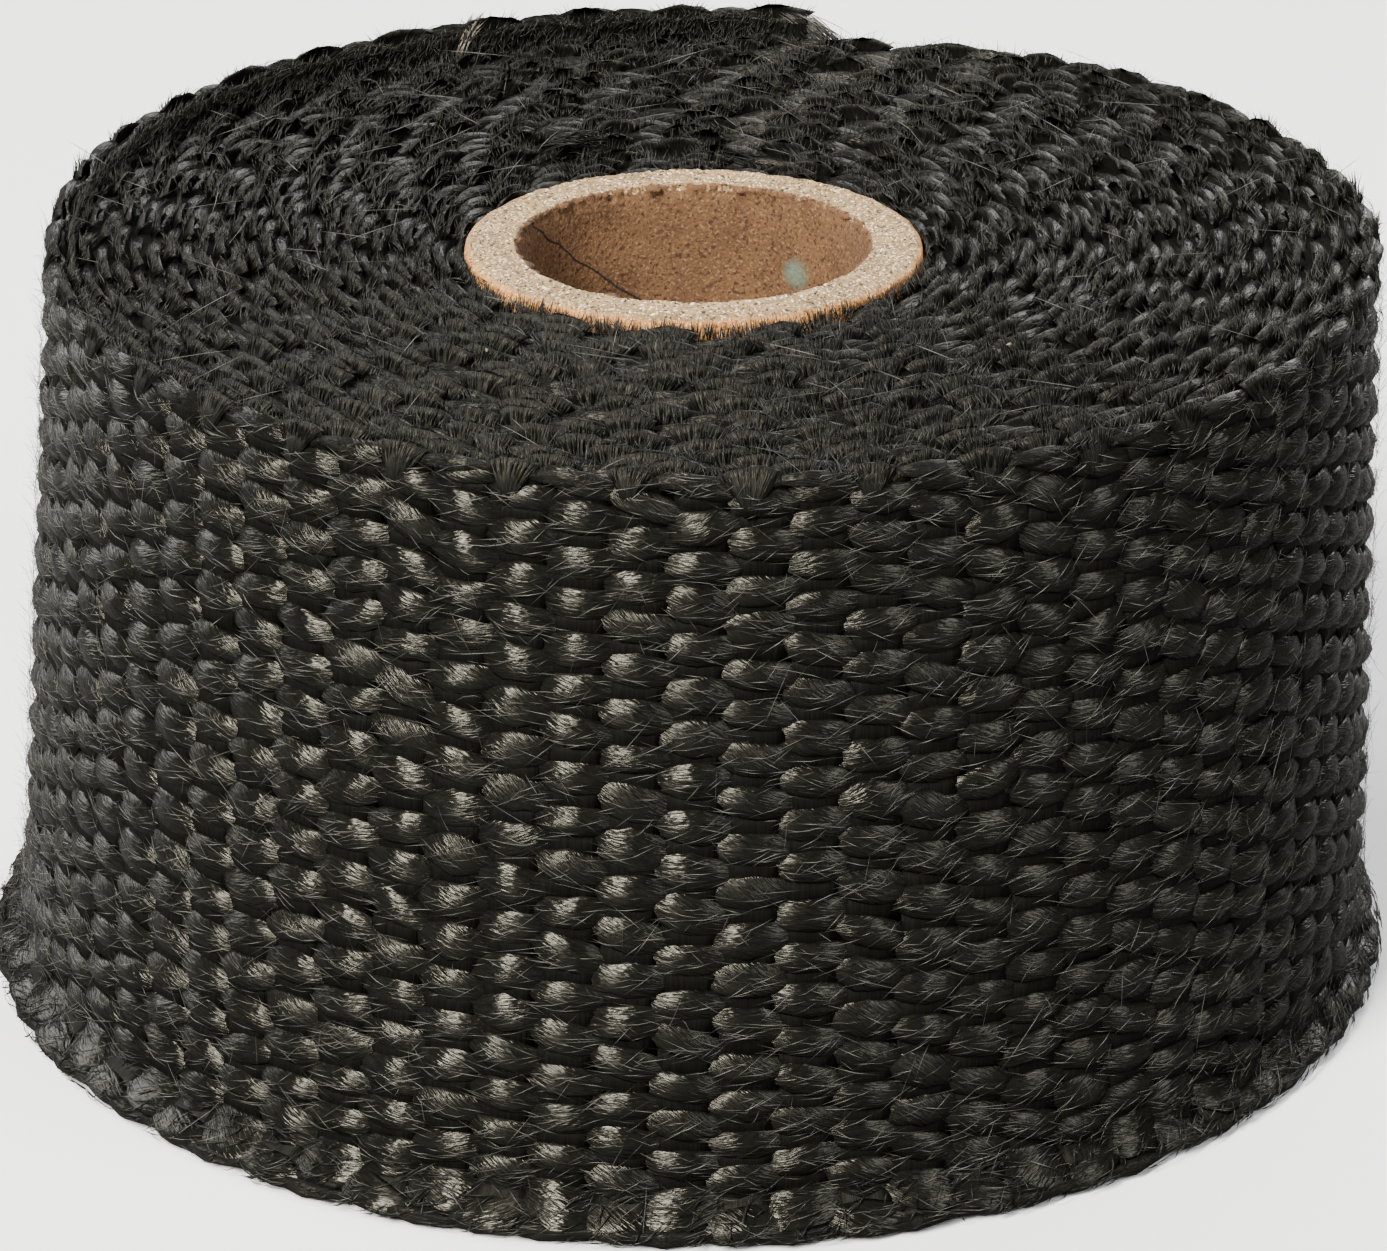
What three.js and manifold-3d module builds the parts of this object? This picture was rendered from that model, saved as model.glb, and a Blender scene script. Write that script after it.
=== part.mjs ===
// A roll of woven glass-fibre exhaust heat wrap, wound on a cardboard tube and standing on one end.
// Millimetres, +Z up. The origin is on the tube's axis, on the floor that the roll stands on.

import * as THREE from 'three';
import { mergeVertices } from 'three/addons/utils/BufferGeometryUtils.js';
import Module from 'manifold-3d';

// Driving dimensions of the tape
const TAPE_WIDTH = 50;            // edge to edge, which is the height of the roll
const TAPE_THICKNESS = 1.19;      // one wound layer, squeezed by the turns over it
const TURNS = 26;                 // layers between the tube and the outside

// Driving dimensions of the cardboard tube
const TUBE_OUTER_DIAMETER = 30.6;
const TUBE_WALL = 3.6;
const TUBE_LENGTH = 49.2;
const TUBE_CHAMFER = 0.3;         // the worn rim of a sawn tube

// Clearance between the first turn and the tube
const TUBE_CLEARANCE = 0.3;

// How the wound edges lie
const GROOVE_DEPTH = 0.6;         // from the crest of a turn's edge down to where it meets the next
const DISH_DEPTH = 1.2;           // the inner turns sit this much lower at the top
const DISH_REACH = 12;            // how far out from the tube that dip is felt
const TOP_DRAW_IN = 2.5;          // the turns are packed this much slimmer at the top rim
const TOP_LEAN = 1.5;             // the outer turns' top edge has slid this far towards +X
const TAIL_BEARING = 81;          // degrees from +X to the cut end of the tape, at the back
const TAIL_RISE = 1.9;            // the last turn has slipped up this much by its cut end
const RISE_FROM = 0.5;            // the share of the last turn at which it starts to slip up
const RISE_TO = 0.75;             // and the share at which it has slipped all the way

// The lower edge of the last turn, pushed outwards into a lip by the roll's weight
const LIP_REACH = 1.35;           // how far it stands out from the wall of the roll
const LIP_EDGE = 0.9;             // thickness of its rim
const LIP_HEIGHT = 3;             // where it leaves the wall
const LIP_ROOT = 1.5;             // turns that it is rooted in

// How finely the round shapes are divided
const ROLL_SEGMENTS = 48;
const TUBE_SEGMENTS = 64;
const WALL_STEPS = 2;

const tubeRadius = TUBE_OUTER_DIAMETER / 2;
const boreRadius = tubeRadius + TUBE_CLEARANCE;
const woundDepth = TURNS * TAPE_THICKNESS;
const rollRadius = boreRadius + woundDepth;

const glassCloth = new THREE.MeshStandardMaterial({ color: 0x1d1c1a, roughness: 0.72, metalness: 0 });
const kraftBoard = new THREE.MeshStandardMaterial({ color: 0xa9825a, roughness: 0.88, metalness: 0 });

const smooth = (value) => THREE.MathUtils.smoothstep(value, 0, 1);

// A closed outline of [radius, height] corners, anticlockwise, turned about the upright axis
function turned(corners, segments) {
  const outline = [...corners, corners[0]].map(([radius, height]) => new THREE.Vector2(radius, height));
  return new THREE.LatheGeometry(outline, segments).rotateX(Math.PI / 2);
}

// The height that the crest of a turn reaches on top: lowest beside the tube
function topCrest(turn) {
  const outwards = smooth(turn * TAPE_THICKNESS / DISH_REACH);
  return TAPE_WIDTH - DISH_DEPTH * (1 - outwards);
}

// A place in the winding, given by the turns counted outwards from the bore, the bearing and the
// height. The turns lie a little tighter towards the top, and the outer ones lean towards +X there.
function placeInRoll(turn, bearing, height) {
  const up = height / TAPE_WIDTH;
  const radius = boreRadius + turn * TAPE_THICKNESS * (1 - up * TOP_DRAW_IN / woundDepth);
  const lean = up * TOP_LEAN * turn / TURNS;
  return new THREE.Vector3(radius * Math.cos(bearing) + lean, radius * Math.sin(bearing), height);
}

// The half section of the roll at one step round it, from the bore outwards. The winding moves out
// by one layer in a full turn, so the layers are counted in whole turns plus that share.
function sectionAt(step) {
  const share = step / ROLL_SEGMENTS;
  const bearing = THREE.MathUtils.degToRad(TAIL_BEARING) - 2 * Math.PI * (step % ROLL_SEGMENTS) / ROLL_SEGMENTS;
  const point = (turn, height) => placeInRoll(turn, bearing, height);
  const slip = TAIL_RISE * smooth((share - RISE_FROM) / (RISE_TO - RISE_FROM));

  const top = [point(0, topCrest(0) - GROOVE_DEPTH)];
  const bottom = [point(0, GROOVE_DEPTH)];
  for (let layer = 0; layer < TURNS; layer += 1) {
    const outer = layer + share;
    const inner = Math.max(0, outer - 1);
    const crest = (inner + outer) / 2;
    const crestHeight = GROOVE_DEPTH * (outer - inner);
    const lift = layer === TURNS - 1 ? slip : 0;
    top.push(point(crest, topCrest(crest) - GROOVE_DEPTH + crestHeight + lift));
    top.push(point(outer, topCrest(outer) - GROOVE_DEPTH + lift));
    bottom.push(point(crest, GROOVE_DEPTH - crestHeight));
    bottom.push(point(outer, GROOVE_DEPTH));
  }

  const rim = top.at(-1).z;
  const wall = [];
  for (let level = 0; level <= WALL_STEPS; level += 1) {
    const height = THREE.MathUtils.lerp(GROOVE_DEPTH, rim, level / WALL_STEPS);
    wall.push(point(TURNS - 1 + share, height));
  }
  return { top, bottom, wall };
}

// The wound tape: its spiral edges on both ends, its wall, its bore and the cut end of the tail
function woundTape() {
  const corners = [];
  const triangle = (a, b, c) => {
    if (a.distanceTo(b) > 0 && b.distanceTo(c) > 0 && c.distanceTo(a) > 0) {
      corners.push(a, b, c);
    }
  };
  const quad = (a, b, c, d) => {
    triangle(a, b, c);
    triangle(a, c, d);
  };
  const strip = (left, right) => {
    for (let i = 1; i < left.length; i += 1) {
      quad(left[i - 1], left[i], right[i], right[i - 1]);
    }
  };

  for (let step = 0; step < ROLL_SEGMENTS; step += 1) {
    const here = sectionAt(step);
    const next = sectionAt(step + 1);
    strip(next.top, here.top);
    strip(here.bottom, next.bottom);
    strip(here.wall, next.wall);
    quad(here.bottom[0], next.bottom[0], next.top[0], here.top[0]);
  }

  const first = sectionAt(0);
  const last = sectionAt(ROLL_SEGMENTS);
  strip(last.wall, first.wall);
  triangle(last.wall.at(-1), last.top.at(-2), first.wall.at(-1));
  triangle(first.wall[0], last.bottom.at(-2), last.wall[0]);

  return new THREE.BufferGeometry().setFromPoints(corners);
}

// The flared lower edge, a flat ring that the roll stands on
function lipRing() {
  const inside = rollRadius - LIP_ROOT * TAPE_THICKNESS;
  const outside = rollRadius + LIP_REACH;
  const wallMeet = rollRadius - TAPE_THICKNESS / 2;
  return turned([[inside, 0], [outside, 0], [outside, LIP_EDGE], [wallMeet, LIP_HEIGHT], [inside, LIP_HEIGHT]],
    ROLL_SEGMENTS).rotateZ(THREE.MathUtils.degToRad(TAIL_BEARING));
}

const wasm = await Module();
wasm.setup();

// A geometry whose shared vertices are merged, as a solid that can be joined
function solidOf(geometry) {
  const bare = geometry.clone();
  bare.deleteAttribute('normal');
  bare.deleteAttribute('uv');
  const merged = mergeVertices(bare);
  const index = merged.index;
  const triangles = [];
  for (let i = 0; i < index.count; i += 3) {
    const [a, b, c] = [index.getX(i), index.getX(i + 1), index.getX(i + 2)];
    if (a !== b && b !== c && c !== a) {
      triangles.push(a, b, c);
    }
  }
  return new wasm.Manifold(new wasm.Mesh({
    numProp: 3,
    vertProperties: new Float32Array(merged.attributes.position.array),
    triVerts: new Uint32Array(triangles),
  }));
}

function geometryOf(solid) {
  const mesh = solid.getMesh();
  const geometry = new THREE.BufferGeometry();
  geometry.setAttribute('position', new THREE.BufferAttribute(mesh.vertProperties, 3));
  geometry.setIndex(new THREE.BufferAttribute(mesh.triVerts, 1));
  geometry.computeVertexNormals();
  return geometry;
}

function wrapRoll() {
  const tape = solidOf(woundTape());
  const lip = solidOf(lipRing());
  const mesh = new THREE.Mesh(geometryOf(tape.add(lip)), glassCloth);
  mesh.name = 'wrap_roll';
  return mesh;
}

// The cardboard tube, chamfered a little at its four rims
function cardboardCore() {
  const outer = tubeRadius;
  const inner = tubeRadius - TUBE_WALL;
  const geometry = turned([
    [inner + TUBE_CHAMFER, 0],
    [outer - TUBE_CHAMFER, 0],
    [outer, TUBE_CHAMFER],
    [outer, TUBE_LENGTH - TUBE_CHAMFER],
    [outer - TUBE_CHAMFER, TUBE_LENGTH],
    [inner + TUBE_CHAMFER, TUBE_LENGTH],
    [inner, TUBE_LENGTH - TUBE_CHAMFER],
    [inner, TUBE_CHAMFER],
  ], TUBE_SEGMENTS);
  const mesh = new THREE.Mesh(geometry, kraftBoard);
  mesh.name = 'cardboard_core';
  return mesh;
}

const heatWrapRoll = new THREE.Group();
heatWrapRoll.add(wrapRoll(), cardboardCore());

export default heatWrapRoll;
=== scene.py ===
# %% [markdown]
# # A roll of exhaust heat wrap on a cardboard core
# Exhaust heat wrap is a coarse tape, woven from black-dyed glass or basalt yarn and wound on a
# short cardboard tube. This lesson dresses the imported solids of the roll: a spiral of tape and a
# tube. We load the solids first, because every yarn below is laid on the sizes that they have.

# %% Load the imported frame
import math

import bpy
import numpy as np
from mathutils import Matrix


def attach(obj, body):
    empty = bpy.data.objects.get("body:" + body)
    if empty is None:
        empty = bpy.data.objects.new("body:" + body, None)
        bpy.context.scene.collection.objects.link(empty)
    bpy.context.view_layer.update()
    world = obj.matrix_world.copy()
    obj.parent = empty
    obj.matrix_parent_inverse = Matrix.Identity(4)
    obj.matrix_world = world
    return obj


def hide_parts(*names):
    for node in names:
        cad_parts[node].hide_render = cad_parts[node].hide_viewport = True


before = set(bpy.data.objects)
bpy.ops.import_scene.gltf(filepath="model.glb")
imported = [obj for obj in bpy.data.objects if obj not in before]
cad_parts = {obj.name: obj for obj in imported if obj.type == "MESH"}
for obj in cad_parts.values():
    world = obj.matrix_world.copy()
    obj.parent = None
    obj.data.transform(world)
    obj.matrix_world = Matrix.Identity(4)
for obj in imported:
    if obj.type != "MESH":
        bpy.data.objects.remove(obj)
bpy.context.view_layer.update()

# %% [markdown]
# ## Sizes of the roll
# All lengths below are in millimetres, as a maker would read them from a ruler, and are turned
# into metres only where a mesh is made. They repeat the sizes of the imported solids. Only the
# loose outer turns, the foot and the lip are the photograph's own, finer than the solids.

# %% Tape, winding and tube sizes
TAPE_WIDTH = 50.0
TAPE_THICKNESS = 1.19
TURNS = 26
TUBE_RADIUS = 15.3
BORE_RADIUS = 11.7
TUBE_LENGTH = 49.2
START_RADIUS = TUBE_RADIUS + 0.3
WOUND_DEPTH = TURNS * TAPE_THICKNESS
DISH_DEPTH = 1.2
DISH_REACH = 12.0
TOP_DRAW_IN = 2.5
TOP_LEAN = 1.5
TAIL_BEARING = math.radians(81)
TAIL_RISE = 1.9
FOOT_RADIUS = 48.1
LIP_HEIGHT = 2.5
LIP_FLAT = 0.6
LIP_UNEVEN = 0.7
SLACK = 0.75
RISE_FROM, RISE_OVER = 0.62, 0.19
RIGHT_RIM_RISE = 0.8
print("wall radius", START_RADIUS + WOUND_DEPTH, "mm")

# %% [markdown]
# ## Where a point of the tape lies
# The tape is one long spiral. A place on it is given by how many turns have been wound so far, by
# its height, and by how far it stands off the middle of the tape. Three small functions turn
# that into a point, so each yarn can be thought of as lying on a flat strip of cloth.

# %% From turns and height to a point
def smooth(share):
    """An S-shaped ramp from 0 to 1."""
    share = np.clip(share, 0, 1)
    return share * share * (3 - 2 * share)


def bearing_at(turns):
    """Direction from the axis: the tape is wound clockwise, seen from above."""
    return TAIL_BEARING - 2 * np.pi * (np.asarray(turns) - (TURNS - 1))


def crest_at(turns):
    """Height of the tape's upper edge. The winding dishes near the tube, and its end rides up."""
    turns = np.asarray(turns, float)
    dish = DISH_DEPTH * (1 - smooth(turns * TAPE_THICKNESS / DISH_REACH))
    rise = TAIL_RISE * smooth((turns - (TURNS - 1) - RISE_FROM) / RISE_OVER)
    side = (np.degrees(bearing_at(turns)) + 180) % 360 - 180
    right = smooth((75 - side) / 25) * smooth((side + 45) / 40)
    rise = rise + RIGHT_RIM_RISE * right * smooth((turns - 22) / 3) * (1 - smooth((turns - 25.3) / 0.2))
    return TAPE_WIDTH - dish + rise


def slack_at(turns):
    """The outer turns are loose: they stand out this much more than a tight winding."""
    return (SLACK + 0.12 * np.cos(bearing_at(turns))) * smooth((turns - 16) / 9)


def roll_point(turns, height, off=0.0):
    """Point on the middle of the tape, moved off it by so many millimetres, away from the axis."""
    turns, height, off = np.broadcast_arrays(np.asarray(turns, float), height, off)
    up = height / TAPE_WIDTH
    layer = turns - 0.5
    radius = START_RADIUS + layer * TAPE_THICKNESS * (1 - up * TOP_DRAW_IN / WOUND_DEPTH) + off
    radius = radius + slack_at(turns)
    angle = bearing_at(turns)
    lean = up * TOP_LEAN * layer / TURNS
    return np.stack([radius * np.cos(angle) + lean, radius * np.sin(angle), height], -1)


print("tape end at", roll_point(TURNS, 50.0).round(1))

# %% [markdown]
# ## Building meshes from arrays
# The weave needs hundreds of thousands of points, too many to add one at a time. NumPy works out
# whole arrays, and foreach_set hands them to Blender in one go. The texture coordinates, named
# "yarn", run along each yarn and across it in millimetres, so a filament texture follows the yarn.

# %% Mesh helper
def make_piece(name, points, face_groups, yarn, smooth_faces=True, replaces=()):
    """Makes one object from points in millimetres and arrays of faces, and lets it ride."""
    mesh = bpy.data.meshes.new(name)
    points = np.asarray(points, float).reshape(-1, 3) / 1000
    corners = np.concatenate([np.asarray(g).ravel() for g in face_groups]).astype(np.int32)
    counts = np.concatenate([np.full(len(g), np.shape(g)[1]) for g in face_groups])
    starts = np.concatenate([[0], np.cumsum(counts)[:-1]]).astype(np.int32)
    mesh.vertices.add(len(points))
    mesh.vertices.foreach_set("co", points.ravel().astype(np.float32))
    mesh.loops.add(len(corners))
    mesh.loops.foreach_set("vertex_index", corners)
    mesh.polygons.add(len(counts))
    mesh.polygons.foreach_set("loop_start", starts)
    mesh.polygons.foreach_set("use_smooth", np.full(len(counts), smooth_faces))
    layer = mesh.uv_layers.new(name="yarn")
    flat = np.asarray(yarn, float).reshape(-1, 2)
    layer.data.foreach_set("uv", flat[corners].ravel().astype(np.float32))
    mesh.update(calc_edges=True)
    piece = bpy.data.objects.new(name, mesh)
    bpy.context.scene.collection.objects.link(piece)
    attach(piece, "root")
    if replaces:
        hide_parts(*replaces)
    print(f"{name}: {int((counts - 2).sum())} triangles")
    return piece


# %% Faces of tubes
def tube_faces(strands, steps, ring, first=0, loop=False):
    """Quads that join each ring of points to the next, and one face over each end."""
    rows = (np.arange(strands)[:, None] * steps + np.arange(steps)[None, :]) * ring + first
    around = np.arange(ring)
    ahead = np.roll(rows, -1, axis=1) if loop else rows[:, 1:]
    here = rows if loop else rows[:, :-1]
    a = here[:, :, None] + around
    b = here[:, :, None] + (around + 1) % ring
    c = ahead[:, :, None] + (around + 1) % ring
    d = ahead[:, :, None] + around
    groups = [np.stack([a, b, c, d], -1).reshape(-1, 4)]
    if not loop:
        groups.append(rows[:, 0, None] + around[::-1])
        groups.append(rows[:, -1, None] + around)
    return groups


print("three rings of four points are joined by", len(tube_faces(1, 3, 4)[0]), "quads")

# %% Fibres with pointed ends
def make_fibres(name, paths, thickness, rng):
    """Closed three-sided fibres along paths of shape (fibres, points, 3), in millimetres."""
    count, steps, _ = paths.shape
    along = np.gradient(paths, axis=1)
    along /= np.linalg.norm(along, axis=2, keepdims=True) + 1e-9
    side = np.cross(along, np.array([0.31, 0.45, 0.84]))
    side /= np.linalg.norm(side, axis=2, keepdims=True) + 1e-9
    other = np.cross(along, side)
    turn = np.array([0, 2.0944, 4.1888])
    spread = np.asarray(thickness, float).reshape(-1, 1, 1, 1) / 2
    ring = (np.cos(turn)[:, None] * side[:, 1:-1, None] + np.sin(turn)[:, None] * other[:, 1:-1, None])
    inner = paths[:, 1:-1, None] + spread * ring
    points = np.concatenate([paths[:, :1], inner.reshape(count, -1, 3), paths[:, -1:]], axis=1)
    each = 3 * (steps - 2) + 2
    base = np.arange(count)[:, None] * each
    tips, k = [], np.arange(3)
    tips.append(np.stack([np.broadcast_to(base, (count, 3)), base + 1 + (k + 1) % 3, base + 1 + k], -1))
    last = base + each - 4
    tips.append(np.stack([np.broadcast_to(base + each - 1, (count, 3)), last + k, last + (k + 1) % 3], -1))
    groups = [np.concatenate(tips).reshape(-1, 3)]
    for step in range(steps - 3):
        low, high = base + 1 + 3 * step, base + 4 + 3 * step
        groups.append(np.stack([low + k, low + (k + 1) % 3, high + (k + 1) % 3, high + k], -1).reshape(-1, 4))
    length = np.linalg.norm(np.diff(paths, axis=1), axis=2).sum(1)
    share = np.concatenate([[0], np.repeat(np.arange(1, steps - 1), 3), [steps - 1]]) / (steps - 1)
    shift = rng.uniform(0, 90, (count, 1))
    yarn = np.stack([length[:, None] * share, np.broadcast_to(shift, (count, each))], -1)
    return make_piece(name, points, groups, yarn)


CENTRED = np.array([-0.5, 0.0, 0.5])
CENTRED_LONG = np.array([-0.5, -0.17, 0.17, 0.5])
FROM_ROOT = np.array([0.0, 0.5, 1.0])
FROM_ROOT_LONG = np.array([0, 0.33, 0.66, 1.0])
print("a fibre has", len(CENTRED), "or", len(CENTRED_LONG), "points")

# %% [markdown]
# ## The camera and the light
# The camera was fitted to the roll's rims in the photograph: it looks down 23 degrees from
# 38 centimetres away. A narrow, strong lamp stands at the left, because the yarns shine in narrow
# upright bands there. A weak one fills the right, and two light the back. The floor and the
# backdrop look pale to the camera but light the roll little, or the black yarn would turn grey.

# %% Camera
camera_data = bpy.data.cameras.new("camera")
camera_data.sensor_width = 36.0
camera_data.lens = 143.73
camera_data.clip_start, camera_data.clip_end = 0.01, 20
camera = bpy.data.objects.new("camera", camera_data)
bpy.context.scene.collection.objects.link(camera)
ELEVATION = math.radians(23.33)
AIM_HEIGHT, DISTANCE = 0.02129, 0.380
camera.location = (0, -DISTANCE * math.cos(ELEVATION), AIM_HEIGHT + DISTANCE * math.sin(ELEVATION))
camera.rotation_euler = (math.pi / 2 - ELEVATION, 0, 0)
bpy.context.scene.camera = camera
print("the camera looks down", round(math.degrees(ELEVATION), 1), "degrees")


# %% Lamps, floor and backdrop
def soft_lamp(name, bearing, elevation, distance, width, height, power, tint):
    """A rectangular lamp that looks at the middle of the roll."""
    data = bpy.data.lights.new(name, "AREA")
    data.shape, data.size, data.size_y = "RECTANGLE", width, height
    data.energy, data.color = power, tint
    lamp = bpy.data.objects.new(name, data)
    b, e = math.radians(bearing), math.radians(elevation)
    lamp.location = (distance * math.sin(b) * math.cos(e), -distance * math.cos(b) * math.cos(e),
                     distance * math.sin(e) + 0.025)
    lamp.rotation_euler = (math.pi / 2 - e, 0, b)
    bpy.context.scene.collection.objects.link(lamp)


soft_lamp("key_lamp", -33, 42, 0.8, 0.2, 0.44, 26, (1.0, 0.98, 0.93))
soft_lamp("fill_lamp", 58, 34, 0.9, 0.4, 0.5, 6.5, (0.96, 0.98, 1.0))
soft_lamp("rim_lamp", -118, 30, 0.8, 0.5, 0.5, 7, (1.0, 1.0, 1.0))
soft_lamp("back_lamp", 158, 34, 0.8, 0.6, 0.5, 7.5, (1.0, 1.0, 1.0))

floor_mesh = bpy.data.meshes.new("floor")
reach = 3.0
floor_corners = [(-reach, -reach, 0), (reach, -reach, 0), (reach, reach, 0), (-reach, reach, 0)]
floor_mesh.from_pydata(floor_corners, [], [(0, 1, 2, 3)])
floor = bpy.data.objects.new("floor", floor_mesh)
floor.location.z = -0.0002
bpy.context.scene.collection.objects.link(floor)
floor_paint = bpy.data.materials.new("floor_paint")
floor_paint.use_nodes = True
floor_nodes, floor_links = floor_paint.node_tree.nodes, floor_paint.node_tree.links
floor_seen = floor_nodes.new("ShaderNodeLightPath")
floor_tone = floor_nodes.new("ShaderNodeMix")
floor_tone.data_type = "RGBA"
floor_tone.inputs["A"].default_value = (0.09, 0.09, 0.09, 1)
floor_tone.inputs["B"].default_value = (0.92, 0.92, 0.92, 1)
floor_links.new(floor_seen.outputs["Is Camera Ray"], floor_tone.inputs["Factor"])
floor_links.new(floor_tone.outputs["Result"], floor_nodes["Principled BSDF"].inputs["Base Color"])
floor_nodes["Principled BSDF"].inputs["Roughness"].default_value = 0.9
floor_mesh.materials.append(floor_paint)

world = bpy.data.worlds.new("studio")
bpy.context.scene.world = world
world.use_nodes = True
world_nodes, world_links = world.node_tree.nodes, world.node_tree.links
backdrop = world_nodes["Background"]
backdrop.inputs["Color"].default_value = (1, 1, 1, 1)
seen = world_nodes.new("ShaderNodeLightPath")
level = world_nodes.new("ShaderNodeMapRange")
level.inputs["To Min"].default_value, level.inputs["To Max"].default_value = 0.1, 3.0
world_links.new(seen.outputs["Is Camera Ray"], level.inputs["Value"])
world_links.new(level.outputs["Result"], backdrop.inputs["Strength"])
print("camera, four lamps, floor and backdrop are in place")

# %% [markdown]
# ## The dark heart of the winding
# Between the yarns one looks into the tape below. A closed spiral body a little inside the weave
# stops the eye there. It is made as one strip of cross sections swept along the last turn, with
# the turns stepping down at the tape's end as on the real roll.

# %% Inner body
body_steps = 180
turns = np.linspace(TURNS - 1, TURNS, body_steps)
crest = crest_at(turns)
rings = []
for height in (1.2, 12, 24, 36, 47.5):
    rings.append(roll_point(turns, height * crest / TAPE_WIDTH, -0.75))
rings.append(roll_point(turns, crest - 1.0, -0.4))
rings.append(roll_point(turns, crest - 0.75, -0.5))
rings.append(roll_point(turns, crest - 1.0, -0.85))
rings.append(roll_point(turns - 1, crest_at(turns - 1) - 1.0, 0.2))
for back in (4, 9, 14, 19, 25):
    rings.append(roll_point(turns - back, crest_at(np.maximum(turns - back, 0.3)) - 0.9, -0.3))
for back in (25, 19, 13, 7):
    rings.append(roll_point(turns - back, 1.2, -0.3))
body_points = np.stack(rings, axis=1)
body_ring = body_points.shape[1]
radius = np.hypot(body_points[..., 0], body_points[..., 1])
grow = np.maximum(radius, TUBE_RADIUS + 0.25) / np.maximum(radius, 1e-6)
body_points[..., :2] *= grow[..., None]
body_yarn = np.stack(np.meshgrid(np.arange(body_ring) * 3.0, turns * 280), -1)
body_faces = tube_faces(1, body_steps, body_ring)
wrap_body = make_piece("wrap_body", body_points, body_faces, body_yarn, replaces=("wrap_roll",))

# %% [markdown]
# ## The weave
# Plain weave: each warp yarn runs round the roll, over one weft yarn and under the next, and the
# neighbour above does the opposite. The floats are leaf shaped, since the yarn spreads where it is
# free and is pinched where it dives. Counting the photograph gives 36 warp yarns over the width
# and 75.8 weft columns in the last turn. We model each yarn, because the shine runs along every
# single float; a bump map on a smooth wall would have no outline and no dark slits.

# %% Rows and columns of the weave
WARP_ROWS = 36
COLUMNS_A_TURN = 75.79
LAST_COLUMNS = 78
COLUMN_SHIFT = 0.08
COLUMN_PITCH = 3.76


def turns_at(column):
    """How much is wound at a weft column, counted back from the tape's end."""
    return TURNS - (np.asarray(column, float) + COLUMN_SHIFT) / COLUMNS_A_TURN


def row_height(row):
    """Height of a warp yarn: the rows lie closer together near both edges."""
    share = (np.asarray(row, float) + 0.5) / WARP_ROWS
    height = TAPE_WIDTH * (share - 0.06 / (2 * np.pi) * np.sin(2 * np.pi * share))
    return np.clip(height, 0.95, TAPE_WIDTH - 0.95)


def lip_flare(turns, height):
    """How far the tape's lower edge is pushed outward: to a round foot under the spiral wall."""
    wall = START_RADIUS + (np.asarray(turns, float) - 0.5) * TAPE_THICKNESS + slack_at(turns)
    uneven = LIP_UNEVEN * np.cos(bearing_at(turns) + math.radians(135))
    return (FOOT_RADIUS + uneven - 0.5 - wall) * (1 - smooth((height - LIP_FLAT) / (LIP_HEIGHT - LIP_FLAT)))


print("row heights:", row_height(np.arange(WARP_ROWS)).round(1)[:4], "...")

# %% Warp yarns
OVER_SHARES = np.array([-0.13, -0.06, 0.05, 0.24, 0.47, 0.7, 0.92, 1.05, 1.12])
UNDER_SHARES = np.array([0.36, 0.64])
SECTION = np.array([-1, -0.86, -0.56, -0.2, 0.2, 0.56, 0.86, 1])


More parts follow.
